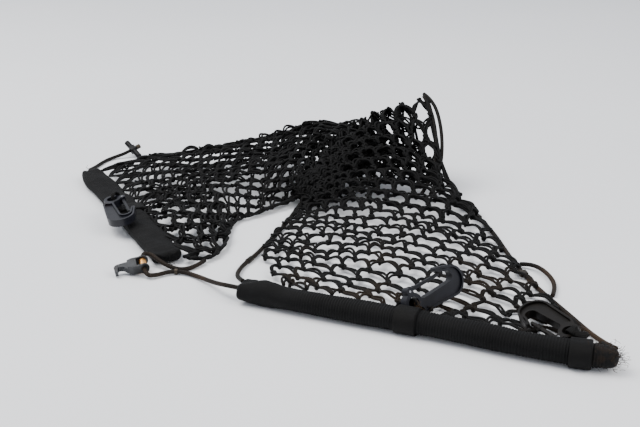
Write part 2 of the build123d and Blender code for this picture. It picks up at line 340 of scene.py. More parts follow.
def readAttribute(tree, name, kind="FLOAT"):
    return addNode(tree, "GeometryNodeInputNamedAttribute", {"data_type": kind}, {"Name": name}).outputs[0]


def storeAttribute(tree, geometry, name, value, kind="FLOAT", domain="POINT"):
    made = addNode(tree, "GeometryNodeStoreNamedAttribute", {"data_type": kind, "domain": domain},
                   {"Geometry": geometry, "Name": name, "Value": value})
    return made.outputs[0]


# every tree ends with real instances and the finish
def endTree(tree, start, end, geometry):
    real = addNode(tree, "GeometryNodeRealizeInstances", values={"Geometry": geometry})
    finished = addNode(tree, "GeometryNodeSetMaterial",
                       values={"Geometry": real.outputs[0], "Material": start.outputs["finish"]})
    tree.links.new(finished.outputs[0], end.inputs[0])
    return tree


# round strands along the edges of a wire mesh, with length and turn as a UV map
def makeStrandTree():
    tree, start, end = newTree("strands", [("radius", "NodeSocketFloat"), ("sides", "NodeSocketInt")])
    wires = addNode(tree, "GeometryNodeMeshToCurve", values={"Mesh": start.outputs["Geometry"]})
    spline = addNode(tree, "GeometryNodeSplineParameter")
    measured = storeAttribute(tree, wires.outputs[0], "lengthAlong", spline.outputs["Length"])
    ring = addNode(tree, "GeometryNodeCurveArc", {"mode": "RADIUS"},
                   {"Resolution": start.outputs["sides"], "Radius": start.outputs["radius"],
                    "Sweep Angle": turn})
    around = addNode(tree, "GeometryNodeSplineParameter")
    profile = storeAttribute(tree, ring.outputs[0], "turnAround", around.outputs["Factor"])
    tube = addNode(tree, "GeometryNodeCurveToMesh", values={"Curve": measured, "Profile Curve": profile})
    pair = addNode(tree, "ShaderNodeCombineXYZ",
                   values={0: readAttribute(tree, "lengthAlong"), 1: readAttribute(tree, "turnAround")})
    mapped = storeAttribute(tree, tube.outputs[0], "UVMap", pair.outputs[0], "FLOAT2", "CORNER")
    closed = addNode(tree, "GeometryNodeMergeByDistance", values={"Geometry": mapped, "Distance": 1e-6})
    smooth = addNode(tree, "GeometryNodeSetShadeSmooth", values={"Geometry": closed.outputs[0]})
    return endTree(tree, start, end, smooth.outputs[0])


# a small piece on every vertex, turned to the vertex's aim and scaled by its size
def makeScatterTree():
    tree, start, end = newTree("scatter", [("piece", "NodeSocketObject")])
    info = addNode(tree, "GeometryNodeObjectInfo", {"transform_space": "ORIGINAL"},
                   {"Object": start.outputs["piece"]})
    rotation = addNode(tree, "FunctionNodeAlignRotationToVector", {"axis": "Y"},
                       {"Vector": readAttribute(tree, "aim", "FLOAT_VECTOR")})
    placed = addNode(tree, "GeometryNodeInstanceOnPoints",
                     values={"Points": start.outputs["Geometry"], "Instance": info.outputs["Geometry"],
                             "Rotation": rotation.outputs[0], "Scale": readAttribute(tree, "size")})
    return endTree(tree, start, end, placed.outputs[0])


# ribs across a swept cloth: it stands out along its normals in even waves
def makeRibTree():
    tree, start, end = newTree("ribs", [("pitch", "NodeSocketFloat"), ("depth", "NodeSocketFloat")])
    length, amount = (Value(tree, readAttribute(tree, name)) for name in ("lengthAlong", "ribAmount"))
    pitch, depth = (Value(tree, start.outputs[name]) for name in ("pitch", "depth"))
    wave = (length / pitch * turn).sine()
    normal = addNode(tree, "GeometryNodeInputNormal")
    shift = addNode(tree, "ShaderNodeVectorMath", {"operation": "SCALE"},
                    {0: normal.outputs[0], "Scale": wave * depth * amount})
    moved = addNode(tree, "GeometryNodeSetPosition",
                    values={"Geometry": start.outputs["Geometry"], "Offset": shift.outputs[0]})
    return endTree(tree, start, end, moved.outputs[0])


trees = {"strands": makeStrandTree(), "scatter": makeScatterTree(), "ribs": makeRibTree()}


# the plain mesh that a tree makes of a source object, which is then removed
def runTree(source, tree, name, inputs):
    modifier = source.modifiers.new("make", "NODES")
    modifier.node_group = tree
    sockets = {s.name: s.identifier for s in tree.interface.items_tree if s.in_out == "INPUT"}
    for label, item in inputs.items():
        modifier[sockets[label]] = item
    bpy.context.view_layer.update()
    seen = source.evaluated_get(bpy.context.evaluated_depsgraph_get())
    mesh = bpy.data.meshes.new_from_object(seen)
    mesh.name = name
    source.modifiers.remove(modifier)
    bpy.data.objects.remove(source)
    return newObject(name, mesh)


# a mesh of open polylines, one for each list of points
def wireObject(name, lines):
    points = [tuple(p) for line in lines for p in line]
    edges = []
    first = 0
    for line in lines:
        edges += [(first + k, first + k + 1) for k in range(len(line) - 1)]
        first += len(line)
    mesh = bpy.data.meshes.new(name)
    mesh.from_pydata(points, edges, [])
    return newObject(name, mesh)


# runs one change on a mesh
def editMesh(mesh, change):
    work = bmesh.new()
    work.from_mesh(mesh)
    change(work)
    work.to_mesh(mesh)
    work.free()


# closed round tubes along lines, all facing outwards
def strands(name, lines, radius, finish, sides=8):
    made = runTree(wireObject(name + "Wires", lines), trees["strands"], name,
                   {"radius": radius, "sides": sides + 1, "finish": finishes[finish]})

    def close(work):
        bmesh.ops.holes_fill(work, edges=[e for e in work.edges if e.is_boundary], sides=sides + 1)
        if work.calc_volume(signed=True) < 0:
            bmesh.ops.reverse_faces(work, faces=work.faces)

    editMesh(made.data, close)
    return made


def joinMeshes(piece, others):
    for other in others:
        editMesh(piece.data, lambda work: work.from_mesh(other.data))
        bpy.data.objects.remove(other)


def addAttribute(mesh, name, kind, values):
    made = mesh.attributes.new(name, kind, "POINT")
    flat = np.asarray(values, np.float32).ravel()
    made.data.foreach_set("vector" if kind == "FLOAT_VECTOR" else "value", flat)


# points read from a smooth curve whose control points are the route
def smoothLine(points):
    curve = bpy.data.curves.new("route", "CURVE")
    curve.dimensions = "3D"
    curve.resolution_u = 12
    spline = curve.splines.new("NURBS")
    spline.points.add(len(points) - 1)
    for point, place in zip(spline.points, points):
        point.co = (*[c * mm for c in place], 1)
    spline.order_u = 3
    spline.use_endpoint_u = True
    holder = newObject("route", curve)
    bpy.context.view_layer.update()
    mesh = bpy.data.meshes.new_from_object(holder.evaluated_get(bpy.context.evaluated_depsgraph_get()))
    line = [v.co.copy() for v in mesh.vertices]
    bpy.data.objects.remove(holder)
    bpy.data.meshes.remove(mesh)
    return line


# the cords, in mm, each with its route
cords = {
    "diameter": 5.0,
    "sides": 14,
    "corner": [(-53, -176, 14), (-66.6, -169.56, 14), (-78, -156.5, 10.5), (-88.5, -139, 6),
               (-103, -120, 3), (-120, -108.5, 3.6), (-136, -108.5, 3.6), (-149, -118.5, 3.4),
               (-159.9, -123.7, 5.7), (-170.1, -85.3, 15.9), (-160, -80.5, 13.5), (-149, -89.5, 8.5),
               (-136, -98, 4.5), (-123, -101.5, 2.8), (-109, -94.5, 3), (-99, -79, 5)],
    "toggle": [(-291, 233, 9), (-296.07, 242.76, 9), (-296.5, 258, 6.5), (-294, 278, 3.4),
               (-290, 299, 2.6), (-283, 319, 2.6), (-272.5, 331, 3.6), (-259.1, 335, 7.54),
               (-239.9, 347, 15.46)],
    "leftEdge": [(-50, -156, 13), (-57, -137, 8), (-60, -113, 4), (-54, -86, 3.2), (-43, -61, 3.4),
                 (-34, -32, 3), (-22, 6, 2.8), (-10, 46, 3), (-1, 86, 3.4), (7, 116, 5)],
    "rightEdge": [(307, -312, 13), (305, -297, 8), (297, -264, 3.2), (286, -222, 2.7),
                  (273, -178, 2.7), (261, -133, 2.7), (254, -90, 2.7), (249, -45, 2.7),
                  (245, 2, 2.7), (238, 48, 2.8), (225, 92, 3), (206, 130, 4), (193, 166, 8),
                  (187, 204, 18), (186, 232, 32)],
    "rightSlack": [(258, -88, 4), (268, -92, 6), (279, -106, 6), (286, -128, 4), (285, -151, 3),
                   (278, -171, 2.8)],
    "peak": [
        [(177, 256, 114), (184, 238, 105), (190, 208, 80), (190, 182, 50), (180, 152, 26), (166, 128, 14)],
        [(178, 266, 115), (190, 246, 110), (198, 214, 84), (198, 184, 52), (189, 154, 24), (178, 132, 12)],
    ],
}


def makeCord(name, route, replaced):
    line = smoothLine(route)
    cord = strands(name, [line], cords["diameter"] / 2 * mm, "edgeCord", cords["sides"])
    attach(cord, "net")
    if replaced:
        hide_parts(replaced)


makeCord("cornerCord", cords["corner"], "corner_cord")
makeCord("toggleCord", cords["toggle"], "toggle_cord")
makeCord("leftEdgeCord", cords["leftEdge"], "left_edge_cord")
makeCord("rightEdgeCord", cords["rightEdge"], "right_edge_cord")
makeCord("rightSlackCord", cords["rightSlack"], "right_slack_cord")
makeCord("peakCordNear", cords["peak"][0], "peak_edge_cords")
makeCord("peakCordFar", cords["peak"][1], None)


# webbing sleeves, in mm
sleeves = {
    "front": {"route": [(-53, -176), (42, -221), (111, -249), (176, -278), (241, -313), (305, -332)],
              "width": 26, "height": 22, "ribPitch": 2.9, "ribDepth": 0.38, "roundness": 0.49},
    "rear": {"route": [(-294, 236), (-238, 128), (-182, 10), (-140, -80)],
             "width": 36, "height": 12, "ribPitch": 2.2, "ribDepth": 0.10, "roundness": 0.46},
    "lift": 2.0,
    "wall": 1.4,
    "around": 48,
    "step": 0.0005,  # metres
}


# even stations along a line: place, direction and length so far
def routeFrames(line, step):
    lengths = np.concatenate([[0], np.cumsum([(b - a).length for a, b in zip(line, line[1:])])])
    points = np.array([tuple(p) for p in line])
    wanted = np.linspace(0, lengths[-1], int(lengths[-1] / step) + 1)
    places = np.stack([np.interp(wanted, lengths, points[:, k]) for k in range(3)], 1)
    heading = np.gradient(places, axis=0)
    heading /= np.linalg.norm(heading, axis=1)[:, None]
    return places, heading, wanted


# length so far at each point of a line
def lengthSoFar(points):
    return np.concatenate([[0], np.cumsum(np.linalg.norm(np.diff(points, axis=0), axis=1))])


# points round a rounded rectangle, evenly spaced, anticlockwise from its right side
def roundedSection(count, width, height, corner):
    cornerSteps = 12
    straightX, straightY = width / 2 - corner, height / 2 - corner
    outline = []
    for centreX, centreY, first in ((straightX, straightY, 0), (-straightX, straightY, 90),
                                    (-straightX, -straightY, 180), (straightX, -straightY, 270)):
        for k in range(cornerSteps + 1):
            a = math.radians(first + k * 90 / cornerSteps)
            outline.append((centreX + corner * math.cos(a), centreY + corner * math.sin(a)))
    outline.append(outline[0])
    outline = np.array(outline)
    run = lengthSoFar(outline)
    wanted = np.linspace(0, run[-1], count, endpoint=False)
    return np.stack([np.interp(wanted, run, outline[:, k]) for k in range(2)], 1), run[-1]


# a closed tube of cloth from rings of points, with its ends filled in
def sweptCloth(name, rings, lengths, girth, ribs):
    count, around = rings.shape[:2]
    mesh = bpy.data.meshes.new(name)
    faces = []
    for k in range(count - 1):
        for a in range(around):
            b = (a + 1) % around
            faces.append((k * around + a, k * around + b, (k + 1) * around + b, (k + 1) * around + a))
    faces.append(tuple(reversed(range(around))))
    faces.append(tuple(range((count - 1) * around, count * around)))
    mesh.from_pydata(rings.reshape(-1, 3).tolist(), [], faces)
    uv = mesh.uv_layers.new(name="UVMap")
    coords = []
    for k in range(count - 1):
        for a in range(around):
            near, far = a / around * girth, (a + 1) / around * girth
            coords += [lengths[k], near, lengths[k], far, lengths[k + 1], far, lengths[k + 1], near]
    coords += [0.0] * (around * 4)
    uv.data.foreach_set("uv", np.array(coords, np.float32))
    addAttribute(mesh, "lengthAlong", "FLOAT", np.repeat(lengths, around))
    addAttribute(mesh, "ribAmount", "FLOAT", ribs)
    mesh.polygons.foreach_set("use_smooth", [True] * len(mesh.polygons))
    editMesh(mesh, lambda work: bmesh.ops.recalc_face_normals(work, faces=work.faces))
    return newObject(name, mesh)


# smooth seeded noise along a length, about -1 to 1
def slowNoise(values, seed):
    chance = np.random.default_rng(seed)
    total = np.zeros_like(values)
    for wave in (0.11, 0.047, 0.021, 0.010):
        total += wave * 6 * np.sin(values / wave * turn + chance.uniform(0, turn))
    return total / 1.1


# a rounded hump along a length, 1 at its middle
def hump(run, middle, width):
    return np.exp(-((run - middle) / width) ** 2)


# how the cover swells and thins along its length: width, height, rib strength
def sleeveShape(which, fromStart, fromEnd, wobble):
    wide = 1 + 0.03 * wobble
    tall = 1 + 0.03 * slowNoise(fromStart, 9)
    if which == "front":  # a lump near the start, a flattened and ragged far end
        lump = hump(fromStart, 0.030, 0.015)
        tall = tall + 0.26 * lump - 0.16 * hump(fromStart, 0.0, 0.012)
        wide = wide - 0.06 * lump
        ragged = np.clip(1 - fromEnd / 0.05, 0, 1)
        tall = tall - 0.26 * ragged ** 2 + 0.05 * ragged * np.sin(fromEnd / 0.009 * turn)
        wide = wide - 0.12 * ragged ** 2
        ribs = np.clip((fromStart - 0.060) / 0.04, 0, 1) * np.clip((fromEnd - 0.006) / 0.01, 0, 1)
        return wide, tall, ribs
    narrowing = 0.35 * np.clip(1 - fromStart / 0.05, 0, 1) ** 1.5
    wide = wide - narrowing + 0.05 * hump(fromEnd, 0.06, 0.03)
    tall = tall + 0.10 * slowNoise(fromStart, 31)
    return wide, tall, np.clip(np.minimum(fromStart, fromEnd) / 0.01, 0, 1)


def makeSleeve(which):
    facts = sleeves[which]
    around = sleeves["around"]
    middle = sleeves["lift"] + facts["height"] / 2
    route = smoothLine([(x, y, middle) for x, y in facts["route"]])
    places, heading, lengths = routeFrames(route, sleeves["step"])
    section, girth = roundedSection(around, facts["width"], facts["height"],
                                    facts["height"] * facts["roundness"])
    total = float(lengths[-1])
    fromStart, fromEnd = lengths, total - lengths
    wobble = slowNoise(lengths, 4)
    wide, tall, ribAmount = sleeveShape(which, fromStart, fromEnd, wobble)
    # both ends are tucked in round
    tuck = np.minimum(np.clip(fromStart / 0.006, 0, 1), np.clip(fromEnd / 0.007, 0, 1))
    shrink = 0.06 + 0.94 * np.sqrt(np.clip(1 - (1 - tuck) ** 2, 0, 1))
    side = np.stack([-heading[:, 1], heading[:, 0], np.zeros(len(heading))], 1)
    floorGap = (middle - sleeves["lift"]) * mm
    rings = np.zeros((len(lengths), around, 3))
    for a, (sx, sy) in enumerate(section):
        angle = a / around * turn
        crease = 0.0006 * np.sin(angle * 3 + wobble * 2 + lengths / 0.03)
        if which == "front":
            crease = crease * (0.4 + 1.6 * np.clip(1 - fromStart / 0.09, 0, 1))
        else:
            crease = crease + 0.0004 * np.sin(angle * 2 + lengths / 0.011)
        across = sx * mm * wide * shrink + crease
        up = sy * mm * tall * shrink + crease * (1 if sy > 0 else 0)
        rings[:, a] = places + side * across[:, None]
        rings[:, a, 2] = places[:, 2] + np.maximum(up, -floorGap)
    cloth = sweptCloth(which + "Cover", rings, lengths, girth * mm, np.repeat(ribAmount, around))
    made = runTree(cloth, trees["ribs"], which + "SleeveCover",
                   {"pitch": facts["ribPitch"] * mm, "depth": facts["ribDepth"] * mm,
                    "finish": finishes["webbing"]})
    thick = made.modifiers.new("wall", "SOLIDIFY")
    thick.thickness = sleeves["wall"] * mm
    thick.offset = -1
    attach(made, "net")
    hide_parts(which + "_sleeve_webbing", which + "_sleeve_rolled_net_edge",
                which + "_sleeve_border_cord")
    print(which, "sleeve flat", round(girth * mm, 4), round(total, 4))


makeSleeve("front")
makeSleeve("rear")


# tape loops that hold the hooks, in mm: the band sits at a station along the sleeve, root points
# count from there (along, inward, up) and ear points from the hook's own origin, yaw, rise and roll
tapes = {
    "front": {"station": (117.9, -252.2), "along": (0.918, -0.396), "band": 22,
              "root": [(4, 9, 9), (4, 15, 2.5), (3.5, 20, 2.6)],
              "plane": ((124, -225, 19), 40, 12.2, 70),
              "ear": [(0, 0, 8), (0, 0, -8), (-9, 0, -8), (-15, 0, -7)], "strap": (22, 11)},
    "side": {"station": (272, -322.2), "along": (64, -19), "band": 20,
             "root": [(0, 11.75, 9.75), (0, 15.3, 13.3)],
             "plane": ((269, -289, 16.5), 118, -2, -18),
             "ear": [(-5, 0, 8), (0, 0, 7), (0, 0, -8), (-8, 0, -8)], "strap": (14, 9)},
    "rear": {"station": (-211, 73.6), "along": (56, -119), "band": 20,
             "root": [(-8.5, -8, 7.9), (-8.5, -8, 13)],
             "plane": ((-229, 66.5, 24), -67, -2, 10),
             "ear": [(-10, 10, 5), (-6.5, 5.5, 9.5), (0, 0, 6), (0, 0, -7)], "strap": (8, 4.2)},
    "thick": 2.2,
    "clear": 1.3,
    "bandSides": 64,
    "strapSides": 20,
    "strapStep": 0.0006,  # metres
    "strapGirth": 30,
    "narrowed": 0.55,  # share of the strap over which it narrows
    "endTuck": 2.0,
    "floor": 0.5,
    "ribPitch": 2.3,
    "ribDepth": 0.3,
}


# a hook's own directions: x along the hook, turned by yaw, tipped by rise, rolled about x
def hookPlane(origin, yaw, rise, roll):
    yaw, rise, roll = (math.radians(a) for a in (yaw, rise, roll))
    x = Vector((math.cos(rise) * math.cos(yaw), math.cos(rise) * math.sin(yaw), math.sin(rise)))
    level = Vector((-math.sin(yaw), math.cos(yaw), 0))
    upward = x.cross(level)
    z = upward * math.cos(roll) - level * math.sin(roll)
    return Vector(origin), x, z.cross(x), z


def makeTape(which):
    facts, cover = tapes[which], sleeves["rear" if which == "rear" else "front"]
    middle = Vector((*facts["station"], sleeves["lift"] + cover["height"] / 2))
    forward = Vector((*facts["along"], 0)).normalized()
    inward = Vector((0, 0, 1)).cross(forward)
    origin, xWay, yWay, zWay = hookPlane(*facts["plane"])
    # the band round the sleeve
    around = tapes["bandSides"]
    bandWidth, bandHeight = (cover[size] + 2 * tapes["clear"] for size in ("width", "height"))
    section, girth = roundedSection(around, bandWidth, bandHeight, bandHeight * cover["roundness"])
    half = facts["band"] / 2
    profile = [(-half, -0.6), (-half - 0.4, 0.1), (-half + 0.2, 0.8)]
    profile += [(-half + 1.2 + k * (2 * half - 2.4) / 12, 0.9 + 0.12 * (k % 2)) for k in range(13)]
    profile += [(half - 0.2, 0.8), (half + 0.4, 0.1), (half, -0.6)]
    rings = np.zeros((len(profile), around, 3))
    for r, (shift, rise) in enumerate(profile):
        place = middle + forward * shift
        for a, (sx, sy) in enumerate(section):
            out = 1 + rise / (cover["height"] / 2)
            ripple = 1 + 0.012 * math.sin(a / around * turn * 5 + shift * 0.2)
            point = place + inward * (sx * out * ripple) + Vector((0, 0, max(sy * out, 0.8 - middle.z)))
            rings[r, a] = [c * mm for c in point]
    lengths = np.array([shift * mm for shift, rise in profile])
    band = sweptCloth(which + "Band", rings, lengths, girth * mm, np.zeros(len(profile) * around))
    # the strap that runs from the band through the hook's eye
    points = [middle + forward * a + inward * b + Vector((0, 0, c)) for a, b, c in facts["root"]]
    points += [origin + xWay * a + yWay * b + zWay * c for a, b, c in facts["ear"]]
    places, heading, lengths = routeFrames(smoothLine([tuple(p) for p in points]), tapes["strapStep"])
    share = np.clip(lengths / lengths[-1] / tapes["narrowed"], 0, 1)
    share = share * share * (3 - 2 * share)
    wide = (facts["strap"][0] * (1 - share) + facts["strap"][1] * share) * mm / 2
    across = np.array(forward)[None] * (1 - share)[:, None] + np.array(yWay)[None] * share[:, None]
    across -= heading * (across * heading).sum(1)[:, None]
    across /= np.linalg.norm(across, axis=1)[:, None]
    face = np.cross(across, heading)
    rounds = tapes["strapSides"]
    rings = np.zeros((len(places), rounds, 3))
    nearEnd = np.minimum(lengths, lengths[-1] - lengths) / (tapes["endTuck"] * mm)
    endTuck = np.sqrt(np.clip(nearEnd, 0.02, 1))
    for a in range(rounds):
        angle = a / rounds * turn
        c, s = math.cos(angle), math.sin(angle)
        flatX = math.copysign(abs(c) ** 0.5, c)
        flatY = math.copysign(abs(s) ** 0.8, s) * tapes["thick"] / 2 * mm
        rings[:, a] = (places + across * (flatX * wide * endTuck)[:, None]
                       + face * (flatY * endTuck)[:, None])
    rings[:, :, 2] = np.maximum(rings[:, :, 2], tapes["floor"] * mm)
    strap = sweptCloth(which + "Strap", rings, lengths, tapes["strapGirth"] * mm,
                       np.ones(len(places) * rounds))
    ribbed = runTree(strap, trees["ribs"], which + "StrapRibs",
                     {"pitch": tapes["ribPitch"] * mm, "depth": tapes["ribDepth"] * mm,
                      "finish": finishes["tape"]})
    joinMeshes(band, [ribbed])
    band.name = which + "TapeLoop"
    band.data.materials.clear()
    band.data.materials.append(finishes["tape"])
    band.data.polygons.foreach_set("material_index", [0] * len(band.data.polygons))
    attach(band, "net")
    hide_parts(which + "_hook_tape_loop")
    print(which, "tape loop made")


for which in ("front", "side", "rear"):
    makeTape(which)


# frayed ends and edges, in mm
frays = {
    "frontEnd": {"middle": (301, -330, 13), "way": (0.95, -0.3, 0), "radius": 10, "count": 260,
                 "reach": (3, 8), "finish": "frayed"},
    "frontEndTop": {"middle": (284, -324, 19), "way": (0.3, 0.2, 0.9), "radius": 11, "count": 90,
                    "reach": (2, 5), "finish": "frayed"},
    "rearEnd": {"middle": (-294, 236, 8), "way": (-0.5, 0.5, 0.1), "radius": 8, "count": 50,
                "reach": (3, 9), "finish": "webbing"},
    "tapeEdge": {"middle": (128, -247, 24), "way": (0.8, 0.1, 0.3), "radius": 3.4, "count": 26,
                 "reach": (2, 5), "finish": "frayed"},
    "rearLowEnd": {"middle": (-138, -84, 7), "way": (0.6, -0.6, 0.1), "radius": 8, "count": 60,
                   "reach": (3, 8), "finish": "webbing"},
    "thick": 0.17,
    "floor": 0.6,
    "seed": 5,
}


def makeFray(which):
    facts = frays[which]
    chance = np.random.default_rng(frays["seed"] + len(which))
    way = np.array(facts["way"]) / np.linalg.norm(facts["way"])
    lines = []
    for _ in range(facts["count"]):
        root = np.array(facts["middle"]) + chance.normal(0, 0.45, 3) * facts["radius"]
        root += way * (-abs(chance.normal(0, 0.4)) * facts["radius"])
        aim = way + chance.normal(0, 0.7, 3)
        aim *= chance.uniform(*facts["reach"]) / np.linalg.norm(aim)
        curl = chance.normal(0, 1.6, 3)
        line = np.array([root + aim * t + curl * t * t for t in (0, 0.25, 0.5, 0.75, 1)])
        line[:, 2] = np.maximum(line[:, 2], frays["floor"])
        lines.append(line * mm)
    fray = strands(which + "Fray", lines, frays["thick"] * mm, facts["finish"], sides=4)
    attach(fray, "net")


for which in ("frontEnd", "frontEndTop", "rearEnd", "tapeEdge", "rearLowEnd"):
    makeFray(which)
print("frays made")


# the net, in mm
net = {
    "leg": 37.0,  # strand from knot to knot
    "strand": 3.0,
    "pairGap": 4.4,
    "seed": 11,
    "knotLength": 5.5,
    "knotSteps": 26,
    "knotSizes": (0.85, 1.15),
    "knotSway": 0.18,
    "legSteps": 10,
    "strandSides": 6,
    "deepestBow": 10.0,
    "shake": 3.2,
    "heapShake": 8.0,
    "wander": 2.6,
    # how the knots settle: a leg pulls when it is longer than it can be and pushes when too short
    "settle": {"rounds": 40, "pull": 0.16, "homeward": 0.05, "shortest": 0.32, "floor": 3.4},
    # from the front sleeve, folded three times in the heap, to the rear sleeve:
    # the edge on the inner side, the middle, and the edge on the outer side
    "stations": [
        [(-6, -178, 18), (130, -243, 19), (300, -320, 17)],
        [(-16, -142, 9), (126, -205, 7), (299, -290, 8)],
        [(-24, -105, 6), (122, -163, 6), (290, -250, 5)],
        [(-31, -66, 5), (118, -115, 7), (276, -200, 4)],
        [(-31, -28, 4), (116, -66, 8), (263, -140, 4)],
        [(-22, 10, 4), (115, -18, 10), (252, -80, 4)],
        [(-10, 54, 4), (113, 32, 12), (245, -20, 4)],
        [(4, 90, 5), (110, 80, 20), (236, 45, 5)],
        [(10, 114, 7), (106, 122, 34), (222, 100, 8)],
        [(11, 122, 10), (98, 158, 50), (204, 140, 22)],
        [(8, 126, 13), (90, 188, 62), (192, 180, 52)],
        [(4, 128, 16), (84, 214, 72), (186, 218, 88)],
        [(2, 130, 20), (80, 236, 78), (182, 250, 112)],
        [(14, 124, 12), (92, 206, 52), (188, 222, 78)],
        [(22, 116, 7), (102, 166, 34), (190, 180, 42)],
        [(26, 110, 6), (104, 140, 18), (184, 150, 24)],
        [(14, 120, 10), (88, 182, 34), (168, 200, 44)],
        [(6, 128, 16), (74, 222, 56), (158, 240, 86)],
        [(0, 132, 18), (62, 242, 66), (148, 262, 96)],
        [(10, 124, 10), (74, 208, 40), (150, 236, 60)],
        [(18, 116, 7), (84, 176, 24), (150, 200, 34)],
        [(8, 124, 10), (60, 204, 36), (132, 244, 58)],
        [(2, 128, 12), (46, 222, 46), (112, 268, 68)],
        [(0, 126, 12), (32, 228, 46), (70, 300, 56)],
        [(-6, 118, 9), (12, 222, 40), (32, 326, 55)],
        [(-30, 96, 7), (-16, 212, 32), (0, 324, 44)],
        [(-52, 76, 6), (-48, 200, 26), (-40, 318, 37)],
        [(-74, 54, 6), (-84, 186, 21), (-78, 313, 31)],
        [(-80, 20, 6), (-114, 170, 17), (-120, 306, 25)],
        [(-80, -10, 6), (-140, 150, 14), (-160, 303, 19)],
        [(-84, -50, 6), (-164, 126, 12), (-210, 298, 13)],
        [(-100, -75, 6), (-184, 102, 11), (-246, 276, 11)],
        [(-122, -80, 10), (-200, 86, 11), (-276, 246, 10)],
    ],
    "heapStations": (7.5, 24.0),
    "heapBlend": 0.05,
    "heapSplit": 0.52,
    # strands under a hook stay low: from, to, room on each side, ceiling
    "underHooks": [((124, -225), (172, -186), 24, 4.4), ((269, -289), (236, -227), 22, 3.4),
                   ((118, -252), (122, -232), 14, 15.0)],
    "underFade": 8,
    # the whole net, then the layers where it is gathered double
    "patches": [
        {"down": (0, 32), "across": (0, 1), "columns": 10, "gap": 23.5, "opening": 0.7,
         "lift": 0, "seed": 11},
        {"down": (22.5, 31.6), "across": (0.42, 1.0), "columns": 7, "gap": 25.0, "lift": 3, "seed": 23},
        {"down": (20.5, 25.5), "across": (0.05, 0.95), "columns": 9, "gap": 22.0, "lift": 9, "seed": 37},
        {"down": (6.6, 11.0), "across": (0.08, 1.0), "columns": 9, "gap": 21.0, "lift": 4, "seed": 43},
        {"down": (27.6, 31.8), "across": (0.0, 0.42), "columns": 4, "gap": 27.0, "lift": 3, "seed": 51},
    ],
}
stations = np.array(net["stations"], float)
lastStation = len(stations) - 1
heapFrom, heapTo = (s / lastStation for s in net["heapStations"])


# point of the smooth guide surface; across and down run from 0 to 1
def guidePoint(across, down):
    place = min(max(down, 0), 1) * lastStation
    k = min(int(place), lastStation - 1)
    t = place - k
    p0, p1, p2, p3 = (stations[min(max(k + d, 0), lastStation)] for d in (-1, 0, 1, 2))
    inner, middle, outer = 0.5 * (2 * p1 + (p2 - p0) * t + (2 * p0 - 5 * p1 + 4 * p2 - p3) * t * t
                                  + (3 * p1 - p0 - 3 * p2 + p3) * t ** 3)
    control = 2 * middle - (inner + outer) / 2
    s = across
    return (1 - s) ** 2 * inner + 2 * s * (1 - s) * control + s * s * outer


# where each row lies along the guide, even along the middle line but for the opening rows
def rowPlaces(first, last, gap, opening):
    middleLine, samples, opened = 0.58, 600, 1.6
    fine = np.linspace(first, last, samples)
    line = np.array([guidePoint(middleLine, d) for d in fine])
    run = lengthSoFar(line)
    count = 2 * round(run[-1] / gap / 2)
    gaps = 1 + opening * np.exp(-np.arange(count) / opened)
    wanted = np.concatenate([[0], np.cumsum(gaps)]) / gaps.sum() * run[-1]
    return np.interp(wanted, run, fine)


# 1 in the heap, 0 outside it, with a soft change
def heapShare(down):
    return min(max(min(down - heapFrom, heapTo - down) / net["heapBlend"], 0), 1)


# a slow wander of the net, in all three directions
def slowShift(place):
    x, y, z = place / 1000
    return np.array([math.sin(31 * y + 17 * x + 0.7) + 0.6 * math.sin(67 * x - 43 * y),
                     math.sin(29 * x - 23 * y + 2.1) + 0.6 * math.sin(71 * y + 37 * x),
                     0.6 * math.sin(53 * x + 47 * y)]) * net["wander"]


